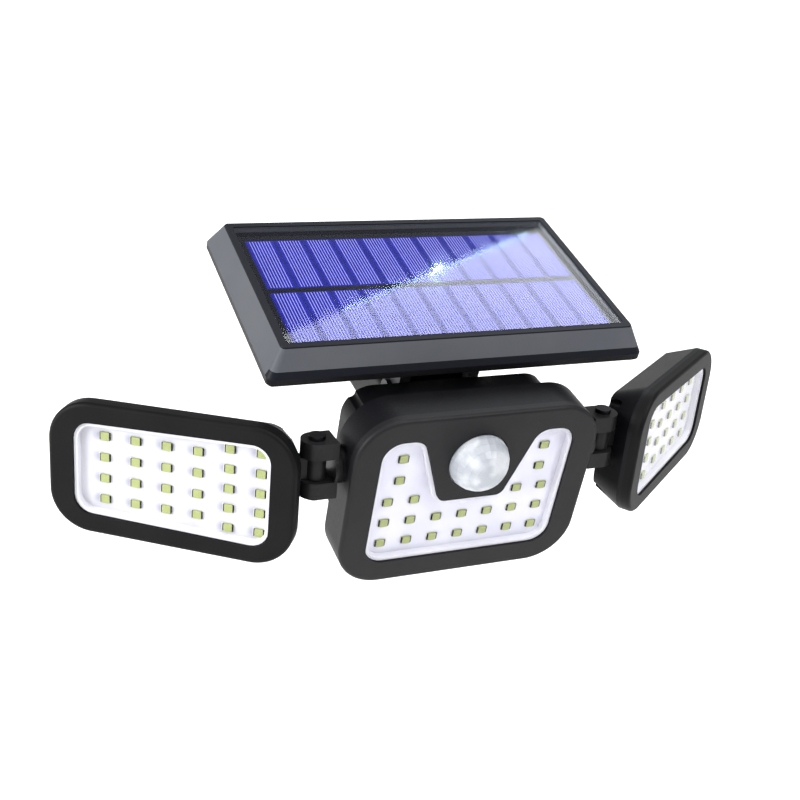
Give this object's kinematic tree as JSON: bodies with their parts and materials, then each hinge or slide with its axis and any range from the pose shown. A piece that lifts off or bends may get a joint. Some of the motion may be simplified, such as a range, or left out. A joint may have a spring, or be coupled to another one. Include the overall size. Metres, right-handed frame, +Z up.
{
  "type": "motion sensor security light",
  "caption": "Wall mounted solar security light with a centre head, two hinged side heads, a motion sensor dome and a tilting solar panel on top.",
  "frame": {"origin": "midway between the two wall screws, on the wall's surface, level with the middle of the centre face", "axes": "+X to the right of a viewer in front, +Y into the wall, +Z up; the light looks along -Y"},
  "size_m": [0.257, 0.1255, 0.0887],
  "materials": {
    "black_plastic": "fine texture",
    "grey_plastic": "satin",
    "seal_rubber": "matte",
    "screw_steel": "zinc plated",
    "window_clear": "polished",
    "board_white": "solder mask",
    "led_package": "yellow phosphor",
    "dome_white": "translucent",
    "sensor_can": "plain",
    "cell_sleeve": "shrink sleeve",
    "board_green": "solder mask",
    "component_black": "moulded",
    "laminate_dark": "backing sheet",
    "solar_silicon": "blue silicon"
  },
  "bodies": {
    "housing": {"arm_screws": "screw_steel", "battery_cell": "cell_sleeve", "battery_cradle": "black_plastic", "centre_bezel": "black_plastic", "centre_casing": "black_plastic", "centre_led_board": "board_white", "centre_leds": "led_package", "centre_lens": "window_clear", "centre_screws": "screw_steel", "centre_seal": "seal_rubber", "control_board": "board_green", "control_parts": "component_black", "control_screws": "screw_steel", "mode_switch": "component_black", "pir_dome": "dome_white", "pir_sensor": "sensor_can", "support_arm": "black_plastic", "wall_plate": "black_plastic"},
    "button": {"mode_button": "seal_rubber"},
    "panel": {"bracket_screws": "screw_steel", "panel_back": "black_plastic", "panel_bracket": "grey_plastic", "panel_frame": "grey_plastic", "panel_glass": "window_clear", "panel_laminate": "laminate_dark", "panel_nut": "screw_steel", "panel_pin": "screw_steel", "panel_screws": "screw_steel", "solar_cells": "solar_silicon"},
    "left_elbow": {"left_collar": "seal_rubber", "left_elbow": "black_plastic", "left_hinge_pin": "screw_steel", "left_keeper": "screw_steel"},
    "left_head": {"left_bezel": "black_plastic", "left_casing": "black_plastic", "left_led_board": "board_white", "left_leds": "led_package", "left_lens": "window_clear", "left_neck": "black_plastic", "left_screws": "screw_steel", "left_seal": "seal_rubber"},
    "right_elbow": {"right_collar": "seal_rubber", "right_elbow": "black_plastic", "right_hinge_pin": "screw_steel", "right_keeper": "screw_steel"},
    "right_head": {"right_bezel": "black_plastic", "right_casing": "black_plastic", "right_led_board": "board_white", "right_leds": "led_package", "right_lens": "window_clear", "right_neck": "black_plastic", "right_screws": "screw_steel", "right_seal": "seal_rubber"}
  },
  "joints": [
    {"name": "panel_tilt", "type": "hinge", "parent": "housing", "child": "panel", "pos_m": [0, -0.0722, 0.0155], "axis": [1, 0, 0], "range_deg": [-20, 5]},
    {"name": "button_press", "type": "slide", "parent": "housing", "child": "button", "axis": [0, 0, 1], "range_m": [0, 0.0012], "stiffness_N_per_m": 400},
    {"name": "left_swivel", "type": "hinge", "parent": "housing", "child": "left_elbow", "pos_m": [-0.0525, -0.1055, 0.0111], "axis": [1, 0, 0], "range_deg": [-45, 10]},
    {"name": "left_turn", "type": "hinge", "parent": "left_elbow", "child": "left_head", "pos_m": [-0.0525, -0.1055, 0.0111], "axis": [0, 0.1908, 0.9816], "range_deg": [-42, 48]},
    {"name": "right_swivel", "type": "hinge", "parent": "housing", "child": "right_elbow", "pos_m": [0.0525, -0.1055, 0.0111], "axis": [1, 0, 0], "range_deg": [-46, 9]},
    {"name": "right_turn", "type": "hinge", "parent": "right_elbow", "child": "right_head", "pos_m": [0.0525, -0.1055, 0.0111], "axis": [0, 0.1736, 0.9848], "range_deg": [-50, 40]}
  ]
}
